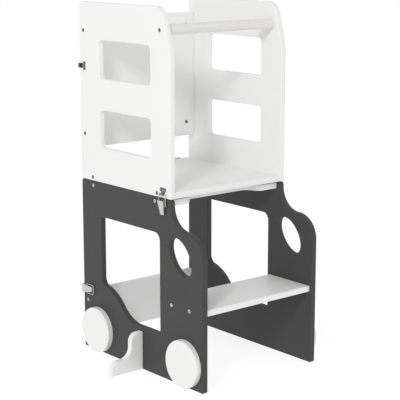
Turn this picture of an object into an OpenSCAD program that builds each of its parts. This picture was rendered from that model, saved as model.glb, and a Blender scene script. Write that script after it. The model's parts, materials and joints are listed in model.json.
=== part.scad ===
// Convertible kitchen helper stool for toddlers.
// A car-shaped lower unit carries a hinged upper unit. Closed, they are a standing tower with a
// platform, a back board and a handrail. With the front latches open, the upper unit swings
// over the back edge and stands upside down behind the lower unit as a desk and bench.
//
// The front of the stool is towards -Y and its left side towards -X. Depths are measured forward
// from the rear edge of the sides, and heights up from the floor.

/* [Tower] */
// Height of each unit, half of the closed tower
unit_h = 450; // [425:5:520]
// Width over the side boards
tower_w = 370; // [330:5:460]
// Thickness of every board
board_t = 15; // [14:0.5:18]

/* [Lower sides] */
// Depth of the lower sides
lower_depth = 485; // [460:5:540]
// Drop from the seam to the bonnet
bonnet_drop = 70.5; // [65:0.5:80]
// Depth of the bonnet in front of the upper unit
bonnet_l = 120; // [110:5:140]
// Radius of the nose of the bonnet
nose_r = 61; // [50:1:70]
// Straight rise between the sweep and the top corner
sweep_rise = 2; // [1:0.5:10]
// Radius of the two top corners of a lower side
lower_top_rear_r = 8; // [4:1:12]
// Radius of the top corner over the sweep
lower_top_front_r = 11; // [6:1:12]
// Radius of the corners on the floor
floor_corner_r = 5; // [2:1:8]

/* [Lower window] */
// Width of the rear post behind the window
lower_post_w = 82; // [70:1:95]
// Distance from the window to the nose
lower_front_w = 163; // [150:1:180]
// Height of the sill over the floor
lower_sill_z = 110; // [100:1:130]
// Drop from the seam to the top of the window
lower_window_drop = 89; // [80:1:110]
// Radius of the rear top corner of the window
window_rear_r = 8; // [4:1:15]
// Radius of the front top corner of the window
window_front_r = 20; // [10:1:30]
// Radius of the front bottom corner of the window
window_sill_r = 4; // [2:1:10]
// Distance from the rear edge to the centre of the fender
fender_depth = 68; // [64:0.5:72]
// Height of the centre of the fender
fender_z = 61; // [57:0.5:64]
// Radius of the fender around the rear wheel
fender_r = 124; // [118:1:130]
// Radius where the fender meets the rear post
fender_post_r = 20; // [12:1:24]
// Radius where the fender meets the sill
fender_sill_r = 95; // [70:1:100]

/* [Headlight] */
// Distance from the nose to the centre of the headlight
headlight_inset = 84; // [78:1:90]
// Drop from the bonnet to the centre of the headlight
headlight_drop = 62.5; // [58:0.5:70]
// Width of the oval headlight opening
headlight_w = 63; // [50:1:75]
// Length of the oval headlight opening
headlight_l = 102; // [85:1:110]
// Lean of the headlight opening from the vertical, in degrees
headlight_lean = 40; // [25:1:50]

/* [Upper sides] */
// Radius of the front top corner
upper_front_r = 38; // [25:1:45]
// Radius of the rear top corner
upper_rear_r = 10; // [5:1:20]
// Drop from the top to where the front edge starts to lean back
lean_drop = 122; // [100:1:140]
// Lean of the front edge from the vertical, in degrees
lean_angle = 15.1; // [8:0.1:18]
// Radius of the bend where the lean starts
lean_r = 120; // [90:1:140]

/* [Upper windows] */
// Width of the rear post behind the windows
upper_post_w = 83; // [70:1:95]
// Distance from the windows to the front edge
upper_front_w = 75; // [70:1:90]
// Height of the lower window over the seam
first_window_h = 89; // [70:1:95]
// Height of the bar between the windows
window_bar_h = 79; // [65:1:90]
// Drop from the top to the upper window
upper_window_drop = 92; // [85:1:105]
// Radius of the corners of the windows
upper_window_r = 12; // [6:1:20]

/* [Platform and desk] */
// Drop from the seam to the top of the desk
desk_drop = 4.5; // [3:0.5:8]
// Distance from the front of the upper unit to the front of the desk
desk_inset = 12; // [5:1:30]
// Half width of the straight bottom of the scoop
scoop_half_w = 79; // [60:1:90]
// Depth of the scoop in the front edge of the desk
scoop_depth = 37; // [25:1:48]
// Radius of the two bends on each side of the scoop
scoop_r = 25.5; // [25:0.5:28]

/* [Step] */
// Height of the top of the step
step_z = 200; // [170:5:210]
// Depth of the step board
step_depth = 149; // [130:1:150]
// Distance from the nose to the front edge of the step
step_inset = 8; // [5:1:15]

/* [Back boards] */
// Distance from the rear edge of the sides to the back boards
back_inset = 10; // [8:1:20]
// Drop from the top to the upper back board
upper_back_drop = 39; // [30:1:55]
// Height of its lower edge over the seam
upper_back_rise = 81; // [70:1:95]
// Height of the lower back board
lower_back_h = 121; // [100:1:130]
// Height of its lower edge over the floor
lower_back_z = 34; // [25:1:45]
// Radius of the corners of the back boards
back_corner_r = 10; // [4:1:20]

/* [Handrail] */
// Diameter of the handrail
rail_d = 25; // [22:1:32]
// Distance from the front of the platform to the centre of the handrail
rail_inset = 38; // [36:1:50]
// Drop from the top to the centre of the handrail
rail_drop = 54; // [45:1:65]

/* [Wheels and feet] */
// Diameter of the wheel discs
wheel_d = 118; // [100:1:120]
// Thickness of the wheel discs
wheel_t = 15; // [12:1:18]
// Radius of the outer rim edge of a wheel disc
wheel_rim_r = 4; // [2:0.5:6]
// Distance from the rear and front edges of a side to the wheel centres
wheel_inset = 66.5; // [65:0.5:75]
// Height of the discs over the floor
wheel_clear = 0.5; // [0.5:0.5:4]
// Height of the stabiliser feet
foot_h = 98; // [85:1:110]
// Reach of the feet from the sides
foot_reach = 95; // [85:1:120]
// Width of the upper part of a foot
foot_stem_w = 35; // [33:1:45]
// Height of the toe of a foot
foot_toe_h = 36; // [30:1:40]
// Radius of the upper corner of a foot
foot_top_r = 22; // [10:1:30]
// Radius of the hollow between stem and toe
foot_hollow_r = 28; // [20:1:30]
// Radius of the toe
foot_toe_r = 24; // [15:1:28]
// Depth of the middle of the feet from the rear edge
foot_depth = 243.5; // [220:0.5:260]

/* [Board bolts] */
// Diameter of the bolts
bolt_d = 6; // [5:0.5:7]
// Diameter of the bolt heads
bolt_head_d = 9; // [8:0.5:11]
// Thickness of the bolt heads
bolt_head_t = 3; // [2.5:0.5:4]
// Key size of the hexagon socket in a head
bolt_key = 4; // [3:0.5:5]
// Depth of the hexagon socket in a head
bolt_key_depth = 2; // [1.5:0.5:2]
// Length that a bolt reaches past its barrel nut
bolt_end = 8; // [6:1:12]
// Diameter of the barrel nuts
nut_d = 10; // [9:0.5:11]
// Length of the barrel nuts
nut_l = 13; // [12.6:0.1:13.2]
// Distance of the barrel nuts from the end of their board
nut_inset = 28; // [24:1:34]
// Depth of the slot in the face of a barrel nut
nut_slot_depth = 1.5; // [1:0.5:2]
// Width of the slot in the face of a barrel nut
nut_slot_w = 1.4; // [1:0.1:2]

/* [Dowels] */
// Diameter of the wooden dowels
dowel_d = 8; // [6:1:10]
// Depth that a dowel enters a side
dowel_side_depth = 10; // [8:0.5:11]
// Depth that a dowel enters a wheel disc
dowel_wheel_depth = 10; // [8:0.5:11]
// Depth that a dowel enters a foot
dowel_foot_depth = 20; // [12:1:25]
// Distance of the wheel dowels from the wheel centre
wheel_dowel_offset = 25; // [15:1:35]
// Distance of the foot dowels from the top and bottom of the foot
foot_dowel_inset = 24; // [15:1:30]

/* [Hinges] */
// Width of a hinge
hinge_w = 60; // [50:1:76]
// Distance of a hinge from the inner face of the side
hinge_gap = 28; // [20:1:40]
// Height of each leaf from the pin
leaf_h = 17; // [15:0.5:18]
// Thickness of a leaf
leaf_t = 1.5; // [1:0.1:1.8]
// Distance of the pin behind the rear edge of the sides
pin_offset = 3.5; // [3.4:0.1:4.5]
// Diameter of the knuckles
knuckle_d = 6; // [5:0.1:6.4]
// Diameter of the hinge pin
pin_d = 3; // [2:0.1:3.4]
// Number of knuckles on a hinge
knuckles = 5; // [3:2:7]

/* [Small screws] */
// Diameter of the small screws
screw_d = 3; // [2:0.1:3.2]
// Diameter of their heads
screw_head_d = 5.6; // [4.5:0.1:6]
// Thickness of their heads
screw_head_t = 1.1; // [0.8:0.1:1.5]
// Length of the small screws in the wood
screw_l = 10; // [8:0.5:12]

/* [Latches] */
// Distance from the front of the platform to the middle of the front latches
front_latch_inset = 27.5; // [23:0.5:35]
// Height of the middle of the rear latches
rear_latch_z = 160; // [150:1:180]
// Distance from the joint line to the pin of the lever
lever_pin_drop = 9; // [8:0.5:12]
// Distance from the lever pin to the holes of the wire loop
loop_drop = 9; // [8:0.5:11]
// Distance from the joint line to the hook of the front keepers
hook_rise = 11; // [10:0.5:14]
// Length of the lever past its pin
lever_l = 31; // [28:0.5:36]
// Length of the lever before its pin
lever_heel = 4; // [3:0.5:4.5]
// Width of the lever at its heel
lever_w = 22; // [20:0.5:24]
// Width of the lever at its tip
lever_tip_w = 13; // [12:0.5:16]
// Height of the lever over the side at its heel
lever_rise = 10; // [9:0.5:11]
// Height of the lever over the side at its tip
lever_tip_rise = 3.8; // [3.6:0.1:5]
// Thickness of the sheet metal
sheet_t = 1; // [0.8:0.1:1.2]
// Diameter of the wire
wire_d = 2.2; // [1.8:0.1:2.4]
// Width of a keeper's plate
keeper_w = 21; // [20:0.5:24]
// Height of a keeper's plate
keeper_h = 9; // [8:0.5:11]
// Width of a keeper's hook
hook_w = 12; // [10:0.5:14]

/* [Hidden] */
$fn = 96;
// Facets of the large arcs, and points of the headlight
large_fn = 180;
headlight_points = 96;

// Overrun of every cut past the surface it opens
over = 1;
// Radial clearance of a fastener in its hole
fastener_fit = 0.1;
// Radial clearance of a turning pin in its hole
pin_fit = 0.05;
// Side clearance between neighbouring knuckles, and of the lever on its base
side_fit = 0.3;
// Clearance of the hollow for a turning knuckle, and of the wire in its hook
turn_fit = 0.4;

// Colours of the finishes
white_paint = [0.93, 0.93, 0.92];
dark_paint = [0.31, 0.31, 0.31];
pale_wood = [0.86, 0.80, 0.71];
bright_zinc = [0.72, 0.72, 0.72];
dark_zinc = [0.35, 0.35, 0.36];

// Main places
half_w = tower_w / 2;
inner_half_w = half_w - board_t;
inner_w = 2 * inner_half_w;
seam_z = unit_h;
tower_h = 2 * unit_h;
hinge_reach = pin_offset + knuckle_d / 2;
rear_y = (lower_depth - hinge_reach) / 2;
pin_y = rear_y + pin_offset;
upper_depth = lower_depth - bonnet_l;
bonnet_h = seam_z - bonnet_drop;
sweep_r = bonnet_drop - lower_top_front_r - sweep_rise;
nose_z = bonnet_h - nose_r;
headlight_z = bonnet_h - headlight_drop;
lower_window_w = lower_depth - lower_post_w - lower_front_w;
lower_window_h = seam_z - lower_window_drop - lower_sill_z;
lean_start_h = unit_h - lean_drop;
upper_window_w = upper_depth - upper_post_w - upper_front_w;
upper_window_h = (unit_h - first_window_h - window_bar_h - upper_window_drop) / 2;
second_window_h = first_window_h + upper_window_h + window_bar_h;
desk_depth = upper_depth - desk_inset;
upper_back_h = unit_h - upper_back_rise - upper_back_drop;
front_latch_depth = upper_depth - front_latch_inset;

// Places of the bolts, as [depth, height] on a side, and of their barrel nuts
platform_bolt_rise = 9;
platform_bolt_rear = 49;
platform_bolt_front = 52;
desk_bolt_rear = 50;
desk_bolt_front = 60;
step_bolt_rear = 39;
step_bolt_front = 43;
upper_back_bolt_top = 32;
upper_back_bolt_bottom = 37;
lower_back_bolt_inset = 26;
back_bolt_depth = back_inset + board_t / 2;
step_back = lower_depth - step_inset - step_depth;
step_front = lower_depth - step_inset;
desk_z = seam_z - desk_drop - board_t;
upper_back_z = seam_z + upper_back_rise;

platform_bolt_z = seam_z + platform_bolt_rise;
platform_bolts = [for (d = [platform_bolt_rear, upper_depth - platform_bolt_front])
    [d, platform_bolt_z]];
upper_back_bolts = [
    [back_bolt_depth, upper_back_z + upper_back_bolt_bottom],
    [back_bolt_depth, upper_back_z + upper_back_h - upper_back_bolt_top]
];
desk_bolts = [for (d = [desk_bolt_rear, upper_depth - desk_bolt_front])
    [d, desk_z + board_t / 2]];
step_bolts = [for (d = [step_back + step_bolt_rear, step_front - step_bolt_front])
    [d, step_z - board_t / 2]];
lower_back_bolts = [for (z = [lower_back_bolt_inset, lower_back_h - lower_back_bolt_inset])
    [back_bolt_depth, lower_back_z + z]];
rail_place = [upper_depth - rail_inset, tower_h - rail_drop];
upper_bolt_places = concat(platform_bolts, upper_back_bolts);
lower_bolt_places = concat(desk_bolts, step_bolts, lower_back_bolts);

// The heads lie flush in the sides, also where a rear wheel covers one
bolt_sink = bolt_head_t;
// Radial clearance of a head in its counterbore
head_gap = 0.5;
bolt_grip = board_t - bolt_sink;
bolt_l = bolt_grip + nut_inset + bolt_end;
rail_bolt_depth = 35;

// Wheels, feet and their dowels
wheel_r = wheel_d / 2;
wheel_z = wheel_clear + wheel_r;
wheel_depths = [wheel_inset, lower_depth - wheel_inset];
wheel_dowel_l = dowel_side_depth + dowel_wheel_depth;
foot_dowel_l = dowel_side_depth + dowel_foot_depth;
foot_dowel_heights = [foot_dowel_inset, foot_h - foot_dowel_inset];
dowel_end_gap = 0.5;

// Hinges
hinge_x = inner_half_w - hinge_gap - hinge_w / 2;
knuckle_r = knuckle_d / 2;
knuckle_l = hinge_w / knuckles;
leaf_screw_x = hinge_w / 3;
lower_screw_drop = seam_z - desk_z - board_t / 2;
upper_screw_rise = board_t / 2;

// Latches. Their own frame has x outward from the side, y across and z towards the keeper,
// with z zero on the joint line between the two units
base_t = 1.2;
base_w = 9.4;
base_l = 33;
base_start = 3.4;
ear_r = 2.4;
ear_t = 1.2;
latch_pin_d = 2.5;
latch_pin_rise = 5.5;
loop_rise = 3.5;
flange_rise = 1.3;
heel_cut = 1.8;
heel_bevel = 5;
lever_stub = 2;
base_screw_places = [19.5, 28];
hook_t = 1.2;
hook_lip = 1.8;
loop_bend_r = 2.6;
loop_hook_gap = 0.5;
keeper_screw_x = keeper_w / 3;
front_stem = 5;
rear_stem = 12;
wire_r = wire_d / 2;
lever_outer_half = lever_w / 2;
lever_pin_z = -lever_pin_drop;
loop_pin_z = lever_pin_z - loop_drop;
lever_heel_z = lever_pin_z + lever_heel;
lever_tip_z = lever_pin_z - lever_l;
// The lever narrows towards its tip by this share of its length on each side
lever_slope_share = (lever_outer_half - lever_tip_w / 2) / lever_l;
ear_half = lever_outer_half - sheet_t - side_fit - lever_slope_share * 2 * ear_r;
hook_r = loop_rise - hook_t;
hook_wire_z = hook_rise - (hook_r - wire_r - loop_hook_gap);
loop_l = hook_wire_z - loop_pin_z;
loop_half = lever_outer_half + side_fit + wire_r;
// Distance across from a leg of the loop to the flange of the lever at the loop's holes
loop_inner_gap = loop_half - lever_outer_half + lever_slope_share * loop_drop;
latch_pin_half = lever_outer_half - sheet_t / 4;
// When the upper unit is folded over, its rear edge stands this far behind the lower one
fold_gap = 2 * pin_offset;
rear_hook_rise = hook_rise - fold_gap;
rear_keeper_z = tower_h - rear_latch_z;

// Lays an outline of depth and height on a side board. The outer face lies out from the outer
// face of the side, and the board reaches inward by its thickness
module side_plate(side, out, thickness) {
    outer_x = side * (half_w + out);
    translate([side < 0 ? outer_x + thickness : outer_x, rear_y, 0])
        rotate([90, 0, -90]) linear_extrude(thickness) children();
}

// Puts children on the outer face of a side, with their own z axis pointing outward
module on_side(side, place, out = 0) {
    translate([side * (half_w + out), rear_y - place[0], place[1]])
        rotate([0, side * 90, 0]) children();
}

module rounded_rect(size, r) {
    translate([r, 0]) square([size[0] - 2 * r, size[1]]);
    translate([0, r]) square([size[0], size[1] - 2 * r]);
    for (x = [r, size[0] - r], y = [r, size[1] - r]) translate([x, y]) circle(r);
}

// Takes the square tip off an outside corner and leaves it round. The corner is at the origin
// and the body lies towards the signs of x and y
module corner_cut(x, y, r) {
    difference() {
        translate([x > 0 ? -over : -r, y > 0 ? -over : -r]) square(r + over);
        translate([x * r, y * r]) circle(r);
    }
}

// Lower sides

// The fender bulges into the window round the rear wheel and blends into the post and the sill
fender_place = [fender_depth, fender_z];
post_blend = [
    lower_post_w + fender_post_r,
    fender_z + sqrt(pow(fender_r + fender_post_r, 2)
        - pow(lower_post_w + fender_post_r - fender_depth, 2))
];
sill_blend = [
    fender_depth + sqrt(pow(fender_r + fender_sill_r, 2)
        - pow(lower_sill_z + fender_sill_r - fender_z, 2)),
    lower_sill_z + fender_sill_r
];

module fender_bulge() {
    translate(fender_place) circle(fender_r, $fn = large_fn);
    difference() {
        polygon([fender_place, [lower_post_w, fender_z], [lower_post_w, post_blend[1]],
            post_blend]);
        translate(post_blend) circle(fender_post_r);
    }
    difference() {
        polygon([fender_place, [sill_blend[0], fender_z], sill_blend]);
        translate(sill_blend) circle(fender_sill_r, $fn = large_fn);
    }
}

module lower_window() {
    difference() {
        translate([lower_post_w, lower_sill_z]) difference() {
            square([lower_window_w, lower_window_h]);
            translate([0, lower_window_h]) corner_cut(1, -1, window_rear_r);
            translate([lower_window_w, lower_window_h]) corner_cut(-1, -1, window_front_r);
            translate([lower_window_w, 0]) corner_cut(-1, 1, window_sill_r);
        }
        fender_bulge();
    }
}

module headlight() {
    translate([lower_depth - headlight_inset, headlight_z]) rotate(headlight_lean)
        polygon([for (i = [0 : headlight_points - 1]) let (a = 360 * i / headlight_points)
            [cos(a) * headlight_w / 2, sin(a) * headlight_l / 2]]);
}

module lower_side_outline() {
    sweep_place = [upper_depth + sweep_r, bonnet_h + sweep_r];
    nose_place = [lower_depth - nose_r, nose_z];
    difference() {
        union() {
            square([upper_depth, unit_h]);
            square([lower_depth, nose_z]);
            square([nose_place[0], bonnet_h]);
            translate(nose_place) circle(nose_r, $fn = large_fn);
            difference() {
                translate([upper_depth, bonnet_h]) square(sweep_r);
                translate(sweep_place) circle(sweep_r, $fn = large_fn);
            }
        }
        translate([0, unit_h]) corner_cut(1, -1, lower_top_rear_r);
        translate([upper_depth, unit_h]) corner_cut(-1, -1, lower_top_front_r);
        corner_cut(1, 1, floor_corner_r);
        translate([lower_depth, 0]) corner_cut(-1, 1, floor_corner_r);
        lower_window();
        headlight();
    }
}

// Cuts of the bolts in one side: a counterbore in the outer face and a hole through the board
module side_bolt_cuts(side, places) {
    for (place = places) {
        on_side(side, place, over) translate([0, 0, -over - bolt_sink])
            cylinder(r = bolt_head_d / 2 + head_gap, h = bolt_sink + over);
        on_side(side, place, -board_t - over)
            cylinder(r = bolt_d / 2 + fastener_fit, h = board_t + over);
    }
}

module side_dowel_cuts(side) {
    for (d = wheel_depths, x = [-1, 1])
        on_side(side, [d + x * wheel_dowel_offset, wheel_z], -dowel_side_depth - dowel_end_gap)
            cylinder(r = dowel_d / 2 + fastener_fit, h = dowel_side_depth + dowel_end_gap + over);
    for (z = foot_dowel_heights)
        on_side(side, [foot_depth, z], -dowel_side_depth - dowel_end_gap)
            cylinder(r = dowel_d / 2 + fastener_fit, h = dowel_side_depth + dowel_end_gap + over);
}

module lower_side(side) {
    color(dark_paint) difference() {
        side_plate(side, 0, board_t) lower_side_outline();
        side_bolt_cuts(side, lower_bolt_places);
        side_dowel_cuts(side);
        for (front = [true, false])
            at_latch(side, front) for (z = base_screw_places) translate([0, 0, -z])
                screw_hole(base_t);
    }
}

module lower_left_side() lower_side(-1);
module lower_right_side() lower_side(1);

// Upper sides

// The front edge rises, bends back through the lean angle and meets the top in a round corner
module upper_side_outline() {
    bend_place = [upper_depth - lean_r, lean_start_h];
    bend_end = bend_place + lean_r * [cos(lean_angle), sin(lean_angle)];
    corner_h = unit_h - upper_front_r;
    corner_d = bend_end[0] - (corner_h - bend_end[1]) * tan(lean_angle)
        - upper_front_r / cos(lean_angle);
    corner_place = [corner_d, corner_h];
    corner_end = corner_place + upper_front_r * [cos(lean_angle), sin(lean_angle)];
    difference() {
        union() {
            polygon([[0, 0], [upper_depth, 0], [upper_depth, lean_start_h], bend_end, corner_end,
                corner_place, [corner_d, unit_h], [0, unit_h]]);
            translate(corner_place) circle(upper_front_r);
            intersection() {
                translate(bend_place) circle(lean_r, $fn = large_fn);
                translate(bend_place) polygon([[0, 0], [lean_r + over, 0],
                    (lean_r + over) * [cos(lean_angle), sin(lean_angle)]]);
            }
        }
        translate([0, unit_h]) corner_cut(1, -1, upper_rear_r);
        for (h = [first_window_h, second_window_h]) translate([upper_post_w, h])
            rounded_rect([upper_window_w, upper_window_h], upper_window_r);
    }
}

module upper_side(side) {
    color(white_paint) difference() {
        translate([0, 0, seam_z]) side_plate(side, 0, board_t) upper_side_outline();
        side_bolt_cuts(side, concat(upper_bolt_places, [rail_place]));
        for (front = [true, false], x = [-1, 1])
            at_keeper(side, front) translate([0, x * keeper_screw_x, keeper_h / 2])
                screw_hole(base_t);
    }
}

module upper_left_side() upper_side(-1);
module upper_right_side() upper_side(1);

// Boards between the sides

// A flat board over the given depths, with its lower face at z
module flat_board(back, front, z) {
    translate([-inner_half_w, rear_y - front, z]) cube([inner_w, front - back, board_t]);
}

// Holes for the bolts in the two ends of a board
module end_bolt_cuts(places) {
    for (side = [-1, 1], place = places)
        on_side(side, place, -board_t - nut_inset - bolt_end - dowel_end_gap)
            cylinder(r = bolt_d / 2 + fastener_fit,
                h = nut_inset + bolt_end + dowel_end_gap + over);
}

// Places children at the mouth of a barrel nut, with their own z axis pointing out of the board:
// down from a flat board, forward from a back board. The bolt lies at the given depth in it
module at_nut(side, place, flat, bolt_depth) {
    translate([side * (inner_half_w - nut_inset), rear_y - place[0], place[1]])
        rotate([flat ? 180 : 90, 0, 0]) translate([0, 0, bolt_depth]) children();
}

module nut_cuts(places, flat, bolt_depth) {
    for (side = [-1, 1], place = places) at_nut(side, place, flat, bolt_depth)
        translate([0, 0, -nut_l - dowel_end_gap])
            cylinder(r = nut_d / 2 + fastener_fit, h = nut_l + dowel_end_gap + over);
}

// A barrel nut with a cross hole for the bolt and a slot for a screwdriver
module barrel_nuts(places, flat, bolt_depth) {
    for (side = [-1, 1], place = places) at_nut(side, place, flat, bolt_depth) difference() {
        translate([0, 0, -nut_l]) cylinder(r = nut_d / 2, h = nut_l);
        translate([-nut_d / 2 - over, 0, -bolt_depth]) rotate([0, 90, 0])
            cylinder(r = bolt_d / 2 + pin_fit, h = nut_d + 2 * over);
        translate([-nut_d / 2 - over, -nut_slot_w / 2, -nut_slot_depth])
            cube([nut_d + 2 * over, nut_slot_w, nut_slot_depth + over]);
    }
}

module leaf_screw_cuts(z) {
    for (side = [-1, 1], x = [-1, 1])
        translate([side * hinge_x + x * leaf_screw_x, rear_y + over, z]) rotate([90, 0, 0])
            cylinder(r = screw_d / 2 + fastener_fit, h = screw_l + dowel_end_gap + over);
}

module platform_board() {
    color(white_paint) difference() {
        flat_board(0, upper_depth, seam_z);
        end_bolt_cuts(platform_bolts);
        nut_cuts(platform_bolts, true, platform_bolt_rise);
        leaf_screw_cuts(seam_z + upper_screw_rise);
    }
}

// The scoop in the front edge of the desk: on each side one bend into the scoop and one back out
module scoop() {
    inner_place = [scoop_half_w, desk_depth - scoop_depth + scoop_r];
    bend_drop = 2 * scoop_r - scoop_depth;
    bend_run = sqrt(pow(2 * scoop_r, 2) - pow(bend_drop, 2));
    outer_place = [scoop_half_w + bend_run, desk_depth - scoop_r];
    for (side = [0, 1]) mirror([side, 0]) {
        difference() {
            polygon([[0, desk_depth - scoop_depth], [scoop_half_w, desk_depth - scoop_depth],
                inner_place, outer_place, [outer_place[0], desk_depth + over],
                [0, desk_depth + over]]);
            translate(outer_place) circle(scoop_r);
        }
        intersection() {
            translate(inner_place) circle(scoop_r);
            translate([0, desk_depth - scoop_depth - over])
                square([outer_place[0], scoop_depth + over]);
        }
    }
}

module desk_board() {
    color(white_paint) difference() {
        translate([0, rear_y, desk_z]) linear_extrude(board_t) mirror([0, 1]) difference() {
            translate([-inner_half_w, 0]) square([inner_w, desk_depth]);
            scoop();
        }
        end_bolt_cuts(desk_bolts);
        nut_cuts(desk_bolts, true, board_t / 2);
        leaf_screw_cuts(seam_z - lower_screw_drop);
    }
}

module step_board() {
    color(white_paint) difference() {
        flat_board(step_back, step_front, step_z - board_t);
        end_bolt_cuts(step_bolts);
        nut_cuts(step_bolts, true, board_t / 2);
    }
}

module back_board(height, z, places) {
    color(white_paint) difference() {
        translate([-inner_half_w, rear_y - back_inset, z]) rotate([90, 0, 0])
            linear_extrude(board_t) rounded_rect([inner_w, height], back_corner_r);
        end_bolt_cuts(places);
        nut_cuts(places, false, board_t / 2);
    }
}

module upper_back_board() back_board(upper_back_h, upper_back_z, upper_back_bolts);
module lower_back_board() back_board(lower_back_h, lower_back_z, lower_back_bolts);

module handrail() {
    color(pale_wood) difference() {
        translate([-inner_half_w, rear_y - rail_place[0], rail_place[1]]) rotate([0, 90, 0])
            cylinder(r = rail_d / 2, h = inner_w);
        for (side = [-1, 1])
            on_side(side, rail_place, -board_t - rail_bolt_depth - dowel_end_gap)
                cylinder(r = bolt_d / 2 + fastener_fit,
                    h = rail_bolt_depth + dowel_end_gap + over);
    }
}

// Wheels and feet

module wheel(side, d) {
    color(white_paint) difference() {
        on_side(side, [d, wheel_z]) rotate_extrude() {
            square([wheel_r - wheel_rim_r, wheel_t]);
            square([wheel_r, wheel_t - wheel_rim_r]);
            translate([wheel_r - wheel_rim_r, wheel_t - wheel_rim_r]) intersection() {
                circle(wheel_rim_r);
                square(wheel_rim_r);
            }
        }
        for (x = [-1, 1]) on_side(side, [d + x * wheel_dowel_offset, wheel_z], -over)
            cylinder(r = dowel_d / 2 + fastener_fit, h = dowel_wheel_depth + dowel_end_gap + over);
    }
}

module rear_left_wheel() wheel(-1, wheel_depths[0]);
module front_left_wheel() wheel(-1, wheel_depths[1]);
module rear_right_wheel() wheel(1, wheel_depths[0]);
module front_right_wheel() wheel(1, wheel_depths[1]);

// Outline of a foot: x outward from the side, y up from the floor
module foot_outline() {
    difference() {
        union() {
            square([foot_stem_w, foot_h]);
            square([foot_reach, foot_toe_h]);
            difference() {
                translate([foot_stem_w, foot_toe_h]) square(foot_hollow_r);
                translate([foot_stem_w + foot_hollow_r, foot_toe_h + foot_hollow_r])
                    circle(foot_hollow_r);
            }
        }
        translate([foot_stem_w, foot_h]) corner_cut(-1, -1, foot_top_r);
        translate([foot_reach, foot_toe_h]) corner_cut(-1, -1, foot_toe_r);
    }
}

module foot(side) {
    color(white_paint) difference() {
        mirror([side < 0 ? 1 : 0, 0, 0])
            translate([half_w, rear_y - foot_depth + board_t / 2, 0])
                rotate([90, 0, 0]) linear_extrude(board_t) foot_outline();
        for (z = foot_dowel_heights) on_side(side, [foot_depth, z], -over)
            cylinder(r = dowel_d / 2 + fastener_fit, h = dowel_foot_depth + dowel_end_gap + over);
    }
}

module left_foot() foot(-1);
module right_foot() foot(1);

// Fasteners of the boards

module bolt(side, place, length) {
    on_side(side, place, -bolt_sink) {
        difference() {
            cylinder(r = bolt_head_d / 2, h = bolt_head_t);
            translate([0, 0, bolt_head_t - bolt_key_depth])
                cylinder(r = bolt_key / sqrt(3), h = bolt_key_depth + over, $fn = 6);
        }
        translate([0, 0, -length]) cylinder(r = bolt_d / 2, h = length);
    }
}

module lower_bolts() {
    color(bright_zinc) for (side = [-1, 1], place = lower_bolt_places) bolt(side, place, bolt_l);
}

module upper_bolts() {
    color(dark_zinc) for (side = [-1, 1], place = upper_bolt_places) bolt(side, place, bolt_l);
}

module handrail_bolts() {
    color(dark_zinc) for (side = [-1, 1]) bolt(side, rail_place, bolt_grip + rail_bolt_depth);
}

module lower_barrel_nuts() {
    color(bright_zinc) {
        barrel_nuts(concat(desk_bolts, step_bolts), true, board_t / 2);
        barrel_nuts(lower_back_bolts, false, board_t / 2);
    }
}

module upper_barrel_nuts() {
    color(dark_zinc) {
        barrel_nuts(platform_bolts, true, platform_bolt_rise);
        barrel_nuts(upper_back_bolts, false, board_t / 2);
    }
}

module wheel_dowels() {
    color(pale_wood) for (side = [-1, 1], d = wheel_depths, x = [-1, 1])
        on_side(side, [d + x * wheel_dowel_offset, wheel_z], -dowel_side_depth)
            cylinder(r = dowel_d / 2, h = wheel_dowel_l);
}

module foot_dowels() {
    color(pale_wood) for (side = [-1, 1], z = foot_dowel_heights)
        on_side(side, [foot_depth, z], -dowel_side_depth)
            cylinder(r = dowel_d / 2, h = foot_dowel_l);
}

// A small screw, head outward along z with its underside at the origin
module small_screw(shaft) {
    difference() {
        cylinder(r = screw_head_d / 2, h = screw_head_t);
        translate([-screw_head_d / 4, -screw_head_t / 4, screw_head_t / 2])
            cube([screw_head_d / 2, screw_head_t / 2, screw_head_t]);
        translate([-screw_head_t / 4, -screw_head_d / 4, screw_head_t / 2])
            cube([screw_head_t / 2, screw_head_d / 2, screw_head_t]);
    }
    translate([0, 0, -shaft]) cylinder(r = screw_d / 2, h = shaft);
}

// The hole for a small screw through a fitting of the given thickness, in a latch's own frame
module screw_hole(thickness) {
    translate([-screw_l - dowel_end_gap, 0, 0]) rotate([0, 90, 0])
        cylinder(r = screw_d / 2 + fastener_fit,
            h = screw_l + dowel_end_gap + thickness + over);
}

// Hinges

// Knuckles of one leaf: the even ones belong to the lower leaf, the odd ones to the upper leaf
module knuckle_row(upper) {
    for (i = [upper ? 1 : 0 : 2 : knuckles - 1])
        translate([(i - knuckles / 2) * knuckle_l + side_fit / 2, pin_y, seam_z])
            rotate([0, 90, 0]) cylinder(r = knuckle_r, h = knuckle_l - side_fit);
}

module knuckle_hollows(upper) {
    for (i = [upper ? 0 : 1 : 2 : knuckles - 1])
        translate([(i - knuckles / 2) * knuckle_l - side_fit / 2, pin_y, seam_z])
            rotate([0, 90, 0]) cylinder(r = knuckle_r + turn_fit, h = knuckle_l + side_fit);
}

module leaf(side, upper) {
    sign = upper ? 1 : -1;
    screw_h = upper ? upper_screw_rise : -lower_screw_drop;
    color(bright_zinc) translate([side * hinge_x, 0, 0]) difference() {
        union() {
            translate([-hinge_w / 2, rear_y, upper ? seam_z : seam_z - leaf_h])
                cube([hinge_w, leaf_t, leaf_h]);
            knuckle_row(upper);
        }
        knuckle_hollows(upper);
        translate([-hinge_w / 2 - over, pin_y, seam_z]) rotate([0, 90, 0])
            cylinder(r = pin_d / 2 + pin_fit, h = hinge_w + 2 * over);
        for (x = [-1, 1]) translate([x * leaf_screw_x, rear_y + leaf_t + over, seam_z + screw_h])
            rotate([90, 0, 0]) cylinder(r = screw_d / 2 + fastener_fit, h = leaf_t + 2 * over);
    }
}

module left_hinge_lower_leaf() leaf(-1, false);
module right_hinge_lower_leaf() leaf(1, false);
module left_hinge_upper_leaf() leaf(-1, true);
module right_hinge_upper_leaf() leaf(1, true);

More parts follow.
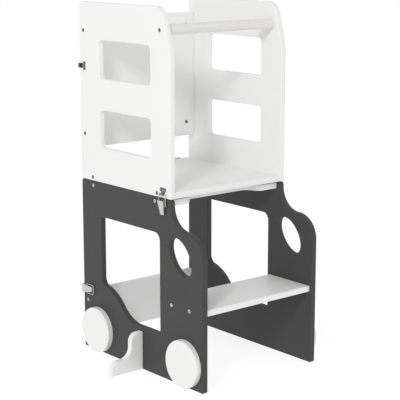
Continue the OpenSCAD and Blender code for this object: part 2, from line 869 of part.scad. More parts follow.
module hinge_pins() {
    color(dark_zinc) for (side = [-1, 1])
        translate([side * hinge_x - hinge_w / 2, pin_y, seam_z]) rotate([0, 90, 0])
            cylinder(r = pin_d / 2, h = hinge_w);
}

module hinge_screws(z) {
    color(bright_zinc) for (side = [-1, 1], x = [-1, 1])
        translate([side * hinge_x + x * leaf_screw_x, rear_y + leaf_t, z])
            rotate([-90, 0, 0]) small_screw(screw_l + leaf_t);
}

module lower_hinge_screws() hinge_screws(seam_z - lower_screw_drop);
module upper_hinge_screws() hinge_screws(seam_z + upper_screw_rise);

// Latches

// Puts a latch on a lower side. The front ones pull straight down over the seam, and the rear
// ones pull forward over the rear edge
module at_latch(side, front) {
    mirror([side < 0 ? 1 : 0, 0, 0])
        if (front) translate([half_w, rear_y - front_latch_depth, seam_z]) children();
        else translate([half_w, rear_y, rear_latch_z]) rotate([-90, 0, 0]) children();
}

// Puts a keeper on an upper side, with the near edge of its plate at the origin
module at_keeper(side, front) {
    plate_z = front ? hook_rise + front_stem : rear_hook_rise + rear_stem;
    mirror([side < 0 ? 1 : 0, 0, 0])
        if (front) translate([half_w, rear_y - front_latch_depth, seam_z + plate_z]) children();
        else translate([half_w, rear_y - plate_z, rear_keeper_z]) rotate([90, 0, 0]) children();
}

// A base is a strip on the side with two ears that carry the lever pin
module latch_base(side, front) {
    ear_base = 2 * ear_r;
    color(bright_zinc) at_latch(side, front) difference() {
        union() {
            translate([0, -base_w / 2, -base_start - base_l]) cube([base_t, base_w, base_l]);
            translate([0, -ear_half, lever_pin_z - ear_r]) cube([base_t, 2 * ear_half, ear_base]);
            for (y = [-ear_half, ear_half - ear_t]) {
                translate([0, y, lever_pin_z - ear_r]) cube([latch_pin_rise, ear_t, ear_base]);
                translate([latch_pin_rise, y, lever_pin_z]) rotate([-90, 0, 0])
                    cylinder(r = ear_r, h = ear_t);
            }
        }
        translate([latch_pin_rise, -ear_half - over, lever_pin_z]) rotate([-90, 0, 0])
            cylinder(r = latch_pin_d / 2 + pin_fit, h = 2 * (ear_half + over));
        for (z = base_screw_places) translate([0, 0, -z]) screw_hole(base_t);
    }
}

module front_left_latch_base() latch_base(-1, true);
module front_right_latch_base() latch_base(1, true);
module rear_left_latch_base() latch_base(-1, false);
module rear_right_latch_base() latch_base(1, false);

module latch_pins() {
    color(dark_zinc) for (side = [-1, 1], front = [true, false]) at_latch(side, front)
        translate([latch_pin_rise, -latch_pin_half, lever_pin_z]) rotate([-90, 0, 0])
            cylinder(r = latch_pin_d / 2, h = 2 * latch_pin_half);
}

module latch_base_screws() {
    color(dark_zinc) for (side = [-1, 1], front = [true, false]) at_latch(side, front)
        for (z = base_screw_places) translate([base_t, 0, -z]) rotate([0, 90, 0])
            small_screw(screw_l + base_t);
}

// The lever is a tapered channel: its outline from outside, cut by its profile from the side. Its
// hollow is the same block, smaller by the sheet on three sides and open at the heel and the back
module lever_block(inset) {
    hollow = inset > 0;
    heel = lever_heel_z + (hollow ? over : 0);
    tip = lever_tip_z + inset;
    half = lever_outer_half - inset;
    tip_half = lever_tip_w / 2 - inset;
    intersection() {
        rotate([0, 90, 0]) linear_extrude(lever_rise + over)
            polygon([[-heel, -half], [-lever_pin_z, -half], [-tip, -tip_half],
                [-tip, tip_half], [-lever_pin_z, half], [-heel, half]]);
        translate([0, half + over, 0]) rotate([90, 0, 0]) linear_extrude(2 * (half + over))
            polygon([[lever_rise - inset, heel], [lever_tip_rise - inset, tip],
                [hollow ? -over : flange_rise, tip],
                [hollow ? -over : flange_rise, lever_pin_z - heel_bevel],
                [hollow ? -over : flange_rise + heel_cut, heel]]);
    }
}

module lever(side, front) {
    color(bright_zinc) at_latch(side, front) difference() {
        lever_block(0);
        lever_block(sheet_t);
        translate([latch_pin_rise, -lever_outer_half - over, lever_pin_z]) rotate([-90, 0, 0])
            cylinder(r = latch_pin_d / 2 + pin_fit, h = 2 * (lever_outer_half + over));
        translate([loop_rise, -lever_outer_half - over, loop_pin_z]) rotate([-90, 0, 0])
            cylinder(r = wire_r + pin_fit, h = 2 * (lever_outer_half + over));
    }
}

module front_left_lever() lever(-1, true);
module front_right_lever() lever(1, true);
module rear_left_lever() lever(-1, false);
module rear_right_lever() lever(1, false);

// The wire loop in its own plane: two legs, two bends and the bar that the hook holds. Its ends
// turn inward through the holes in the lever. x is across, y runs from the holes to the bar
module wire_loop() {
    leg_l = loop_l - loop_bend_r;
    for (x = [-1, 1]) mirror([x < 0 ? 1 : 0, 0, 0]) {
        translate([loop_half, 0, 0]) rotate([-90, 0, 0]) cylinder(r = wire_r, h = leg_l);
        translate([loop_half, 0, 0]) sphere(wire_r);
        translate([loop_half - lever_stub - loop_inner_gap, 0, 0]) rotate([0, 90, 0])
            cylinder(r = wire_r, h = lever_stub + loop_inner_gap);
        translate([loop_half - loop_bend_r, leg_l, 0]) rotate_extrude(angle = 90)
            translate([loop_bend_r, 0]) circle(wire_r);
        translate([0, loop_l, 0]) rotate([0, 90, 0])
            cylinder(r = wire_r, h = loop_half - loop_bend_r);
    }
}

// The front loops are hooked up over their keepers, and the rear ones are stowed along the lever
module loop(side, front) {
    color(bright_zinc) at_latch(side, front) translate([loop_rise, 0, loop_pin_z])
        rotate([front ? 90 : -90, 0, 90]) wire_loop();
}

module front_left_loop() loop(-1, true);
module front_right_loop() loop(1, true);
module rear_left_loop() loop(-1, false);
module rear_right_loop() loop(1, false);

// A keeper is a plate with two screws, a stem and a hook that curls outward and back
module keeper(side, front) {
    stem = front ? front_stem : rear_stem;
    color(dark_zinc) at_keeper(side, front) difference() {
        union() {
            translate([0, -keeper_w / 2, 0]) cube([base_t, keeper_w, keeper_h]);
            translate([0, -hook_w / 2, -stem]) cube([hook_t, hook_w, stem]);
            translate([loop_rise, hook_w / 2, -stem]) rotate([90, 0, 0]) linear_extrude(hook_w) {
                difference() {
                    circle(hook_r + hook_t);
                    circle(hook_r);
                    translate([-hook_r - hook_t - over, 0])
                        square([2 * (hook_r + hook_t + over), hook_r + hook_t + over]);
                }
                translate([hook_r, 0]) square([hook_t, hook_lip]);
            }
        }
        for (x = [-1, 1]) translate([0, x * keeper_screw_x, keeper_h / 2]) screw_hole(base_t);
    }
}

module front_left_keeper() keeper(-1, true);
module front_right_keeper() keeper(1, true);
module rear_left_keeper() keeper(-1, false);
module rear_right_keeper() keeper(1, false);

module keeper_screws() {
    color(dark_zinc) for (side = [-1, 1], front = [true, false], x = [-1, 1])
        at_keeper(side, front) translate([base_t, x * keeper_screw_x, keeper_h / 2])
            rotate([0, 90, 0]) small_screw(screw_l + base_t);
}

lower_left_side();
lower_right_side();
desk_board();
step_board();
lower_back_board();
rear_left_wheel();
front_left_wheel();
rear_right_wheel();
front_right_wheel();
left_foot();
right_foot();
lower_bolts();
lower_barrel_nuts();
wheel_dowels();
foot_dowels();
left_hinge_lower_leaf();
right_hinge_lower_leaf();
hinge_pins();
lower_hinge_screws();
front_left_latch_base();
front_right_latch_base();
rear_left_latch_base();
rear_right_latch_base();
latch_pins();
latch_base_screws();
front_left_lever();
front_right_lever();
rear_left_lever();
rear_right_lever();
front_left_loop();
front_right_loop();
rear_left_loop();
rear_right_loop();
upper_left_side();
upper_right_side();
platform_board();
upper_back_board();
handrail();
handrail_bolts();
upper_bolts();
upper_barrel_nuts();
left_hinge_upper_leaf();
right_hinge_upper_leaf();
upper_hinge_screws();
front_left_keeper();
front_right_keeper();
rear_left_keeper();
rear_right_keeper();
keeper_screws();
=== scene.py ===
# %% [markdown]
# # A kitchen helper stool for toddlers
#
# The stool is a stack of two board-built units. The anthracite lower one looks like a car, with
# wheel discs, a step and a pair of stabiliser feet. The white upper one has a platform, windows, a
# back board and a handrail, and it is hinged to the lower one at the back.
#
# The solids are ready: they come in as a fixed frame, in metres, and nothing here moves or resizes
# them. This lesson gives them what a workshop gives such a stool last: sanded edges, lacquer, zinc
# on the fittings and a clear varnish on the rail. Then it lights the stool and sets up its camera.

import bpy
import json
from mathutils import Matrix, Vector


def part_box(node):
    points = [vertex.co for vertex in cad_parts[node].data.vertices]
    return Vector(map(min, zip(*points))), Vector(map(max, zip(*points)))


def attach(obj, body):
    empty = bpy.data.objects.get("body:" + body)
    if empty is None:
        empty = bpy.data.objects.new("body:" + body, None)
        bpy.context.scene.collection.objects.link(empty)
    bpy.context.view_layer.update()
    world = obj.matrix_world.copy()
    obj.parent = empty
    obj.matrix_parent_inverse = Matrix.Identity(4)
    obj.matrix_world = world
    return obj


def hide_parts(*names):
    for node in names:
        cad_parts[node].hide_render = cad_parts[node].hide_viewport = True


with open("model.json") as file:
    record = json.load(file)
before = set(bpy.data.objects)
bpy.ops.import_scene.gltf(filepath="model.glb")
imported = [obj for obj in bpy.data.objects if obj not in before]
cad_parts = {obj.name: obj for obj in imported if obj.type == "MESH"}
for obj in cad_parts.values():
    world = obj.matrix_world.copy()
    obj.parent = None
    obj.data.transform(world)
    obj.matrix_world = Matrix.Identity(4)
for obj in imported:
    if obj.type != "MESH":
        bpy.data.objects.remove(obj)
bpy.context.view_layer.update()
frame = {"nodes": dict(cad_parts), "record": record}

# %% [markdown]
# ## Measures
#
# Sizes are in metres, but a joiner thinks in millimetres, so one constant turns the one into the
# other. The few places that several steps need are read from the boxes of the solids, so that they
# stay true to the model whatever its sizes are.

# %% Measures from the solids
import json
import math

import bmesh
import bpy
from mathutils import Vector

MM = 0.001

side_low, side_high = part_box("lower_right_side")
outer_x = side_high.x
inner_x = side_low.x
seam_z = side_high.z
print("outer face at", round(outer_x / MM, 1), "mm, seam at", round(seam_z / MM, 1), "mm")

# %% [markdown]
# ## Shader sums in plain Python
#
# A finish is a small network of nodes, and most of its nodes only add or multiply. Wiring those by
# hand hides the idea behind ten lines of links. A wire that knows + - and * keeps the idea in one
# line: `0.4 + 0.1 * cloud` adds the two Math nodes by itself. The reflected forms are there so that
# a plain number may stand on the left, as in `1 - cloud`.


# %% A wire that does sums
class Wire:
    """An output socket of a finish. Sums and products with it add Math nodes."""

    def __init__(self, finish, socket):
        self.finish = finish
        self.socket = socket

    def sum_of(self, operation, first, second):
        return self.finish.node("ShaderNodeMath", {"operation": operation}, {0: first, 1: second})

    def __add__(self, other):
        return self.sum_of("ADD", self, other)

    def __radd__(self, other):
        return self.sum_of("ADD", other, self)

    def __sub__(self, other):
        return self.sum_of("SUBTRACT", self, other)

    def __rsub__(self, other):
        return self.sum_of("SUBTRACT", other, self)

    def __mul__(self, other):
        return self.sum_of("MULTIPLY", self, other)

    def __rmul__(self, other):
        return self.sum_of("MULTIPLY", other, self)


# %% [markdown]
# ## A finish that adds its nodes by one method
#
# Every other node comes from one method. It takes the node's type, its settings, and what goes into
# its sockets, which is either a value or a wire. The shader's own sockets are set the same way. A
# ramp's stops are a setting too, as pairs of a place and a colour. Where a node has several outputs,
# the wanted one is called by its name. The Mix node calls them all Result, so there it is a number.
#
# A noise is laid out in the piece's own coordinates, in metres. Its scale is about how many of its
# lumps fit in a metre, so 5 makes clouds as wide as a hand is long and 620 makes orange peel.


# %% The finish class
MIXED_COLOUR_OUTPUT = 2


class Finish:
    """A material made of nodes, or the nodes of the world."""

    def __init__(self, name, owner=None):
        self.owner = owner or bpy.data.materials.new(name)
        self.owner.use_nodes = True
        self.tree = self.owner.node_tree
        self.tree.nodes.clear()

    def node(self, kind, settings=None, sockets=None, out=0):
        made = self.tree.nodes.new(kind)
        for name, value in (settings or {}).items():
            if name == "stops":
                self.set_stops(made.color_ramp.elements, value)
            else:
                setattr(made, name, value)
        for name, value in (sockets or {}).items():
            self.feed(made.inputs[name], value)
        return Wire(self, made.outputs[out]) if made.outputs else made

    def feed(self, socket, value):
        if isinstance(value, Wire):
            self.tree.links.new(value.socket, socket)
        else:
            socket.default_value = value

    def set_stops(self, elements, stops):
        while len(elements) < len(stops):
            elements.new(1)
        for element, (place, colour) in zip(elements, stops):
            element.position = place
            element.color = (*colour, 1)

    def noise(self, scale, detail=3, stretch=(1, 1, 1)):
        place = self.node("ShaderNodeTexCoord", out="Object")
        if stretch != (1, 1, 1):
            place = self.node("ShaderNodeMapping", None, {"Vector": place, "Scale": stretch})
        sockets = {"Vector": place, "Scale": scale, "Detail": detail}
        return self.node("ShaderNodeTexNoise", None, sockets)

    def between(self, share, first, second):
        settings = {"data_type": "RGBA", "clamp_factor": True}
        sockets = {0: share, 6: (*first, 1), 7: (*second, 1)}
        return self.node("ShaderNodeMix", settings, sockets, out=MIXED_COLOUR_OUTPUT)

    def bump(self, height, strength, depth):
        return self.node("ShaderNodeBump", None,
                         {"Height": height, "Strength": strength, "Distance": depth})

    def surface(self, **sockets):
        words = {name.replace("_", " "): value for name, value in sockets.items()}
        shader = self.node("ShaderNodeBsdfPrincipled", None, words)
        self.node("ShaderNodeOutputMaterial", None, {"Surface": shader})
        return self.owner


def tint(colour, factor):
    """The colour made lighter or darker by a factor."""
    return tuple(min(1, channel * factor) for channel in colour)


def either_side(colour, drift):
    """The two tones between which a colour drifts."""
    return tint(colour, 1 - drift), tint(colour, 1 + drift)


# %% [markdown]
# ## Lacquer
#
# The boards are fibreboard under sprayed lacquer. A single flat colour would look like plastic. Real
# lacquer is almost even: over a hand's breadth its tone drifts by a percent or two, its gloss drifts
# a little more, and close up it has the faint orange peel of a spray gun. Three noises make that,
# one for each scale. The milled edges drink more lacquer than the faces, so they get a finish of
# their own, a touch duller, with fine marks that run in no set direction.


# %% The lacquer finishes
def lacquer(name, colour, gloss, shine, drift):
    finish = Finish(name)
    cloud = finish.noise(5, detail=2)
    patch = finish.noise(38, detail=4)
    peel = finish.noise(620, detail=2)
    tone = finish.between(cloud, *either_side(colour, drift))
    return finish.surface(
        Base_Color=tone,
        Roughness=gloss - 0.06 + 0.12 * patch,
        Specular_IOR_Level=shine,
        Normal=finish.bump(peel, 0.06, 0.2 * MM),
    )


def edge_lacquer(name, colour, gloss, shine, drift):
    finish = Finish(name)
    cloud = finish.noise(14, detail=3)
    scuff = finish.noise(210, detail=5)
    tone = finish.between(0.6 * cloud + 0.4 * scuff, *either_side(colour, drift))
    return finish.surface(
        Base_Color=tone,
        Roughness=gloss - 0.05 + 0.14 * scuff,
        Specular_IOR_Level=shine,
        Normal=finish.bump(scuff, 0.10, 0.25 * MM),
    )


WHITE = (0.905, 0.905, 0.90)
DARK = (0.056, 0.056, 0.0555)
white_lacquer = lacquer("white_lacquer", WHITE, gloss=0.40, shine=0.45, drift=0.012)
white_edge = edge_lacquer("white_edge_lacquer", WHITE, gloss=0.46, shine=0.42, drift=0.02)
dark_lacquer = lacquer("dark_lacquer", DARK, gloss=0.52, shine=0.28, drift=0.05)
dark_edge = edge_lacquer("dark_edge_lacquer", DARK, gloss=0.56, shine=0.28, drift=0.09)
print("lacquers:", white_lacquer.name, white_edge.name, dark_lacquer.name, dark_edge.name)

# %% [markdown]
# ## Varnished wood
#
# The handrail is a turned rod of pale wood under clear varnish. The dowels take the same finish, since
# nobody sees them. Grain runs along the rod, so the noise is stretched that way: wide bands for the
# growth rings, fine lines for the fibres, and short dark flecks for the pores. Since the rods lie
# across the stool, along is the X axis.


# %% The wood finish
def wood(name, dark, light, gloss):
    finish = Finish(name)
    rings = finish.noise(26, detail=3, stretch=(0.10, 1, 1))
    fibres = finish.noise(190, detail=4, stretch=(0.035, 1, 1))
    pores = finish.noise(420, detail=1, stretch=(0.05, 1, 1))
    deep_pores = [(0.60, (0, 0, 0)), (0.72, (1, 1, 1))]
    fleck = finish.node("ShaderNodeValToRGB", {"stops": deep_pores}, {"Fac": pores})
    figure = 0.55 * rings + 0.45 * fibres
    grain = [(0.34, dark), (0.52, light), (0.70, tint(light, 1.04))]
    tone = finish.node("ShaderNodeValToRGB", {"stops": grain}, {"Fac": figure - 0.10 * fleck})
    return finish.surface(
        Base_Color=tone,
        Roughness=gloss + 0.12 * fibres,
        Specular_IOR_Level=0.4,
        Normal=finish.bump(fibres - 0.6 * fleck, 0.12, 0.2 * MM),
    )


pale_wood = wood("pale_wood", (0.745, 0.725, 0.69), (0.825, 0.81, 0.78), gloss=0.36)
print("wood:", pale_wood.name)

# %% [markdown]
# ## Zinc
#
# Bolts, hinges and latches are zinc-plated steel. Bright zinc is nearly white and satin; the other
# fittings are passivated darker. Plating is never even: its gloss changes in soft spangles, and
# handling leaves fine rubs. The spangles come from a cell pattern and the rubs from a fine noise.


# %% The zinc finishes
def zinc(name, colour, gloss, drift):
    finish = Finish(name)
    place = finish.node("ShaderNodeTexCoord", out="Object")
    spangle = finish.node("ShaderNodeTexVoronoi", {"feature": "SMOOTH_F1"},
                          {"Vector": place, "Scale": 340, "Smoothness": 0.6})
    rub = finish.noise(900, detail=3)
    tone = finish.between(0.5 * spangle + 0.5 * rub, *either_side(colour, drift))
    return finish.surface(
        Base_Color=tone,
        Metallic=1,
        Roughness=gloss + 0.16 * rub + 0.06 * spangle,
        Normal=finish.bump(rub, 0.05, 0.1 * MM),
    )


bright_zinc = zinc("bright_zinc", (0.60, 0.60, 0.59), gloss=0.24, drift=0.10)
dark_zinc = zinc("dark_zinc", (0.25, 0.25, 0.255), gloss=0.32, drift=0.14)
finishes = {
    "white_paint": (white_lacquer, white_edge),
    "dark_paint": (dark_lacquer, dark_edge),
    "pale_wood": (pale_wood, pale_wood),
    "bright_zinc": (bright_zinc, bright_zinc),
    "dark_zinc": (dark_zinc, dark_zinc),
}
slots = {part["node"]: part["material_slot"] for part in frame["record"]["subparts"]}
bodies = frame["record"]["behaviour"]["bodies"]
body_of = {node: body for body, nodes in bodies.items() for node in nodes}
print("slots:", sorted(set(slots.values())))

# %% [markdown]
# ## Putting a shape in the place of its solid
#
# Each visible piece here is a mesh that stands in for its solid: it has the same main shape, and it
# adds what a maker does last. One function hands it the two finishes of its slot, one for the faces
# and one for the edges, and lets it ride on the body of the solid that it replaces.


# %% Dressing a shape
FACE, EDGE = 0, 1
SHARP = math.radians(28)
WELD = 0.002 * MM


def copy_of(node):
    """The mesh of a solid, with the vertices that lie on each other joined."""
    shape = bmesh.new()
    shape.from_mesh(frame["nodes"][node].data)
    bmesh.ops.remove_doubles(shape, verts=shape.verts, dist=WELD)
    return shape


def dressed(node, shape):
    """Turns a shape into the finished piece of a node."""
    mesh = bpy.data.meshes.new(node + "_shape")
    shape.to_mesh(mesh)
    shape.free()
    for name in ("custom_normal", "sharp_face", "sharp_edge"):
        if name in mesh.attributes:
            mesh.attributes.remove(mesh.attributes[name])
    mesh.materials.clear()
    for finish in finishes[slots[node]]:
        mesh.materials.append(finish)
    mesh.shade_smooth()
    mesh.set_sharp_from_angle(angle=SHARP)
    piece = bpy.data.objects.new(node + "_finished", mesh)
    bpy.context.scene.collection.objects.link(piece)
    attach(piece, body_of[node])
    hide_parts(node)
    return piece


def even_faces(piece):
    """Lets wide faces stay flat in the light right up to their rounded edges."""
    shading = piece.modifiers.new("Flat faces", "WEIGHTED_NORMAL")
    shading.keep_sharp = True


print("an edge stays sharp from", round(math.degrees(SHARP)), "degrees on")

# %% [markdown]
# ## Edges that were sanded
#
# No board leaves a workshop with knife edges, and light shows it: a rounded edge catches a thin
# highlight that tells the eye how thick the board is. The solids have square edges, so each visible
# board is a copy of its solid with those edges rounded.
#
# Rounding everything would spoil the joints. Where a board butts against a side, its end stays
# square, and so do the rims of the bolt holes. So the copy is opened: its two wide faces and its
# square ends are taken off. What is left of them are rims, closed loops of edges. Along each long
# rim the wall is cut back by the radius, and rings of vertices lead round the corner in a quarter
# circle. A vertex between two straight runs moves along their mitre, so a window's corner keeps its
# shape. At last each open plane is filled again, round its holes.
#
# Python hands out the members of a set in an order that changes from run to run. So what gets worked
# on stands in a list or a dictionary, which keep their order, and sets only answer whether something
# is in them. That way each run makes the same mesh, down to the numbers of its vertices.


# %% Rims of an opened board
NEAR = 0.02 * MM


def lies_in(verts, plane):
    axis, place = plane
    return all(abs(vert.co[axis] - place) < NEAR for vert in verts)


def opened(node, planes):
    """A copy of a solid without the faces in the planes. Only the rims of those faces stay."""
    shape = copy_of(node)
    for plane in planes:
        taken = [face for face in shape.faces if lies_in(face.verts, plane)]
        flat = set(taken)
        inside = [edge for edge in shape.edges
                  if len(edge.link_faces) == 2 and all(face in flat for face in edge.link_faces)]
        bmesh.ops.delete(shape, geom=taken, context="FACES_ONLY")
        bmesh.ops.delete(shape, geom=inside, context="EDGES")
    return shape


def rims_in(shape, plane):
    """The open edges in a plane, in groups that hang together."""
    left = dict.fromkeys(edge for edge in shape.edges
                         if len(edge.link_faces) < 2 and lies_in(edge.verts, plane))
    rims = []
    while left:
        rim, todo = [], [left.popitem()[0]]
        while todo:
            edge = todo.pop()
            rim.append(edge)
            for vert in edge.verts:
                near = [other for other in vert.link_edges if other in left]
                for other in near:
                    del left[other]
                todo.extend(near)
        rims.append(rim)
    return rims


def length_of(rim):
    points = [vert.co for edge in rim for vert in edge.verts]
    spans = [max(p[axis] for p in points) - min(p[axis] for p in points) for axis in range(3)]
    return Vector(spans).length


# %% Rounding a rim
def mitre(vert, runs, plane):
    """The way in which a rim's vertex moves inward, as long as its two runs need for one step."""
    walls = [edge.link_faces[0].normal for edge in vert.link_edges if edge in runs]
    if len(walls) == 2:
        return -(walls[0] + walls[1]) / (1 + walls[0].dot(walls[1]))
    inward = -walls[0]
    inward[plane[0]] = 0
    return inward.normalized()


def round_rim(shape, rim, plane, side, radius, steps):
    """Rounds a rim. Side is +1 where the board lies above the plane along its axis, and -1 below."""
    axis = plane[0]
    walled = [edge for edge in rim if edge.link_faces]
    bare = [edge for edge in rim if not edge.link_faces]
    moving = list(dict.fromkeys(vert for edge in walled for vert in edge.verts))
    runs = set(walled)
    ways = {vert: mitre(vert, runs, plane) for vert in moving}
    rings = {vert: [vert] for vert in moving}
    for vert in moving:
        for step in range(1, steps + 1):
            angle = math.pi / 2 * step / steps
            place = vert.co + ways[vert] * radius * (1 - math.cos(angle))
            place[axis] += side * radius * (1 - math.sin(angle))
            rings[vert].append(shape.verts.new(place))
    for vert in moving:
        vert.co[axis] += side * radius
    for edge in walled:
        first, second = edge.verts
        for step in range(steps):
            shape.faces.new((rings[first][step], rings[second][step],
                             rings[second][step + 1], rings[first][step + 1]))
    for edge in bare:
        first, second = edge.verts
        shape.edges.new((rings[first][-1], rings[second][-1]))
        shape.edges.remove(edge)


def eased(node, axis, square=(), radius=2.2 * MM, shortest=22 * MM, steps=4):
    """A board with rounded edges. Its wide faces cross the axis, and the square planes stay sharp."""
    low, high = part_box(node)
    wide = [((axis, low[axis]), 1), ((axis, high[axis]), -1)]
    square = [plane for plane in square if low[plane[0]] - NEAR < plane[1] < high[plane[0]] + NEAR]
    planes = [plane for plane, side in wide] + square
    shape = opened(node, planes)
    for plane, side in wide:
        for rim in rims_in(shape, plane):
            if length_of(rim) >= shortest:
                round_rim(shape, rim, plane, side, radius, steps)
    for face in shape.faces:
        face.material_index = EDGE
    for plane in planes:
        open_edges = [edge for rim in rims_in(shape, plane) for edge in rim]
        normal = [0, 0, 0]
        normal[plane[0]] = 1
        bmesh.ops.triangle_fill(shape, use_beauty=True, edges=open_edges, normal=normal)
    bmesh.ops.recalc_face_normals(shape, faces=shape.faces)
    loose = sum(len(edge.link_faces) != 2 for edge in shape.edges)
    print(node, "faces", len(shape.faces), "open edges", loose)
    even_faces(dressed(node, shape))


# %% [markdown]
# ## The boards
#
# The four side boards are milled from one sheet each, with every edge rounded, the windows and
# headlights too. The boards that lie between them are rounded only where the hand can reach: their
# ends stay square against the sides. The back boards have rounded corners, so their rounded edge
# runs all the way round. The feet are square where they meet the sides.

# %% Side boards
X, Y, Z = range(3)
for node in ("lower_left_side", "lower_right_side", "upper_left_side", "upper_right_side"):
    eased(node, X)

# %% Boards between the sides
ends = [(X, inner_x), (X, -inner_x)]
for node in ("desk_board", "step_board", "platform_board"):
    eased(node, Z, square=ends)
for node in ("lower_back_board", "upper_back_board"):
    eased(node, Y)

# %% Feet
against_side = [(X, outer_x), (X, -outer_x)]
for node in ("left_foot", "right_foot"):
    eased(node, Y, square=against_side)

# %% [markdown]
# ## Turned pieces
#
# The wheel discs and the handrail are turned on a lathe, and so they are here: a profile spun round
# an axis. Spinning them anew instead of copying the solids gives a rim with no facets, however
# close the camera comes.


# %% A lathe
def turned(node, profile, centre, outward, steps=144):
    """Spins a profile of (radius, height) pairs round the X axis through the centre."""
    shape = bmesh.new()
    rings = []
    for radius, height in profile:
        ring = []
        for step in range(steps):
            angle = 2 * math.pi * step / steps
            ring.append(shape.verts.new((centre[0] + outward * height,
                                         centre[1] + radius * math.cos(angle),
                                         centre[2] + radius * math.sin(angle))))
        rings.append(ring)
    for lower, upper in zip(rings, rings[1:]):
        for step in range(steps):
            after = (step + 1) % steps
            wall = shape.faces.new((lower[step], lower[after], upper[after], upper[step]))
            wall.material_index = EDGE
    shape.faces.new(rings[0])
    shape.faces.new(rings[-1])
    bmesh.ops.recalc_face_normals(shape, faces=shape.faces)
    even_faces(dressed(node, shape))


def rounded_rim(radius, height, rim, count=8):
    """The profile of a disc with a rounded outer rim."""
    arc = [math.pi / 2 * step / count for step in range(count + 1)]
    return [(radius - rim + rim * math.cos(a), height - rim + rim * math.sin(a)) for a in arc]


# %% Wheel discs
RIM = 4 * MM
for node in ("rear_left_wheel", "front_left_wheel", "rear_right_wheel", "front_right_wheel"):
    low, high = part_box(node)
    outward = 1 if high.x > 0 else -1
    radius, thick = (high.z - low.z) / 2, high.x - low.x
    centre = (outward * outer_x, (low.y + high.y) / 2, (low.z + high.z) / 2)
    turned(node, [(radius, 0)] + rounded_rim(radius, thick, RIM), centre, outward)
print("wheel discs", round(2 * radius / MM), "mm across")

# %% Handrail
low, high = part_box("handrail")
radius = (high.z - low.z) / 2
turned("handrail", [(radius, 0), (radius, high.x - low.x)],
       (low.x, (low.y + high.y) / 2, (low.z + high.z) / 2), 1)
print("handrail", round(2 * radius / MM), "mm thick,", round((high.x - low.x) / MM), "mm long")

# %% [markdown]
# ## Fittings
#
# Stamped and turned metal has broken edges too, only a few tenths of a millimetre wide. Without them
# a small fitting shows as one grey blot; with them each fold and rim glints. These pieces are small
# and whole, so a Bevel modifier does it, on every edge that is sharp. Facets that lie in one plane
# are joined first, so that the bevel finds only the edges that a hand would feel.

# %% Fittings with broken edges
FLAT = math.radians(0.15)
WIRE_EDGE = 0.05 * MM
SHEET_EDGE = 0.18 * MM
BOLT_EDGE = 0.35 * MM


def broken(node, radius, segments=2):
    """A fitting with its sharp edges broken."""
    shape = copy_of(node)
    bmesh.ops.dissolve_limit(shape, angle_limit=FLAT, verts=shape.verts, edges=shape.edges)
    for face in shape.faces:
        face.material_index = FACE
    piece = dressed(node, shape)
    bevel = piece.modifiers.new("Broken edges", "BEVEL")
    bevel.limit_method = "ANGLE"
    bevel.angle_limit = SHARP
    bevel.width = radius
    bevel.segments = segments
    bevel.use_clamp_overlap = True
    even_faces(piece)


made = [node for node in slots if slots[node] in ("white_paint", "dark_paint")] + ["handrail"]
fittings = [node for node in slots if node not in made]
for node in fittings:
    if slots[node] == "pale_wood" or node.endswith("_loop"):
        broken(node, WIRE_EDGE, segments=1)
    elif "bolts" in node:
        broken(node, BOLT_EDGE)
    else:
        broken(node, SHEET_EDGE)
print("fittings:", len(fittings))

# %% [markdown]
# ## Floor
#
# The stool stands on a plain white studio floor. A studio lights such a floor by itself, so most of
# its white is a glow of its own here, and the rest is lit by the lamps, so the stool's soft shadow
# stays on it. The glow also reaches the low boards, as it does in a studio. To the camera, and in
# the metal, the floor is as white as paper where nothing shades it. Light Path tells those rays
# apart and adds the last bit of white for them alone.

# %% The floor
FLOOR_REACH = 9
FLOOR_GREY = 0.26
FLOOR_GLOW = 0.66
LAST_WHITE = 0.17
PURE_WHITE = (1, 1, 1, 1)
floor_mesh = bpy.data.meshes.new("floor")
corners = [(x * FLOOR_REACH, y * FLOOR_REACH, 0) for x, y in ((-1, -1), (1, -1), (1, 1), (-1, 1))]
floor_mesh.from_pydata(corners, [], [(0, 1, 2, 3)])
floor = bpy.data.objects.new("floor", floor_mesh)
bpy.context.scene.collection.objects.link(floor)

paper = Finish("studio_floor")
seen = paper.node("ShaderNodeLightPath", out="Is Camera Ray")
for name in ("Is Glossy Ray", "Is Transmission Ray"):
    other = paper.node("ShaderNodeLightPath", out=name)
    seen = paper.node("ShaderNodeMath", {"operation": "MAXIMUM"}, {0: seen, 1: other})
grey = (FLOOR_GREY, FLOOR_GREY, FLOOR_GREY, 1)
faint = paper.node("ShaderNodeBsdfDiffuse", None, {"Color": grey})
strength = FLOOR_GLOW + LAST_WHITE * seen
glow = paper.node("ShaderNodeEmission", None, {"Color": PURE_WHITE, "Strength": strength})
white = paper.node("ShaderNodeAddShader", None, {0: faint, 1: glow})
paper.node("ShaderNodeOutputMaterial", None, {"Surface": white})
floor_mesh.materials.append(paper.owner)
print("floor", 2 * FLOOR_REACH, "m wide")

# %% [markdown]
# ## Light
#
# The stool is lit as a catalogue picture is: soft white light from all round, a shade weaker from
# the ceiling, and one lamp far off to the front left, about thirty degrees up. The lamp makes the
# left faces the brightest. Through the open front it throws the soft shadow of the rail on the right
# side, and through the windows it leaves pale patches on the back board. The level is set so that a
# colour shows about as it is written.

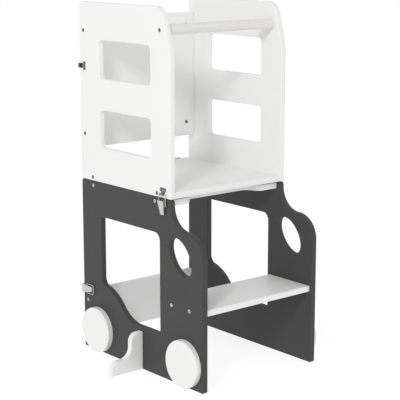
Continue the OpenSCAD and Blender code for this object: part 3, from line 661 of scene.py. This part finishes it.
# %% The world
world = bpy.data.worlds.new("studio")
bpy.context.scene.world = world
sky = Finish("studio", owner=world)
seen = sky.node("ShaderNodeLightPath", out="Is Camera Ray")
AMBIENT = 0.75
CEILING = 0.06
towards = sky.node("ShaderNodeTexCoord", out="Generated")
upward = sky.node("ShaderNodeSeparateXYZ", None, {"Vector": towards}, out="Z")
above = sky.node("ShaderNodeMath", {"operation": "MAXIMUM"}, {0: upward, 1: 0})
strength = AMBIENT - CEILING * above
around = sky.node("ShaderNodeBackground", None, {"Color": PURE_WHITE, "Strength": strength})
behind = sky.node("ShaderNodeBackground", None, {"Color": PURE_WHITE, "Strength": 1})
both = sky.node("ShaderNodeMixShader", None, {0: seen, 1: around, 2: behind})
sky.node("ShaderNodeOutputWorld", None, {"Surface": both})
print("light from all round", AMBIENT, "and from right above", round(AMBIENT - CEILING, 2))


# %% The lamp
KEY_PLACE = (-3.73, -2.37, 3.06)
KEY_WIDTH = 0.75
KEY_WATTS = 66


def soft_lamp(name, place, aim, width, watts):
    data = bpy.data.lights.new(name, "AREA")
    data.shape = "SQUARE"
    data.size = width
    data.energy = watts
    lamp = bpy.data.objects.new(name, data)
    lamp.location = place
    lamp.rotation_euler = (Vector(aim) - Vector(place)).to_track_quat("-Z", "Y").to_euler()
    bpy.context.scene.collection.objects.link(lamp)


middle = (0, 0, seam_z)
soft_lamp("key", KEY_PLACE, middle, KEY_WIDTH, KEY_WATTS)
print("lamp", round((Vector(KEY_PLACE) - Vector(middle)).length, 1), "m away")

# %% [markdown]
# ## Camera
#
# The camera stands to the front left at about worktop height, turned so that the left side and the
# open front both show, with a long lens that keeps the boards' edges nearly parallel.

# %% The camera
FRAME_PIXELS = 400
LENS_PIXELS = 1261.5
SENSOR_WIDTH = 36
CAMERA_PLACE = (-1.9988, -2.4048, 1.0594)
LOOKS_DOWN = math.radians(11.82)
TURNED_RIGHT = math.radians(39.89)
camera_data = bpy.data.cameras.new("camera")
camera_data.sensor_width = SENSOR_WIDTH
camera_data.lens = SENSOR_WIDTH * LENS_PIXELS / FRAME_PIXELS
camera = bpy.data.objects.new("camera", camera_data)
camera.location = CAMERA_PLACE
camera.rotation_euler = (math.pi / 2 - LOOKS_DOWN, 0, -TURNED_RIGHT)
bpy.context.scene.collection.objects.link(camera)
bpy.context.scene.camera = camera
bpy.context.scene.view_settings.view_transform = "Standard"
print("lens", round(camera_data.lens, 1), "mm")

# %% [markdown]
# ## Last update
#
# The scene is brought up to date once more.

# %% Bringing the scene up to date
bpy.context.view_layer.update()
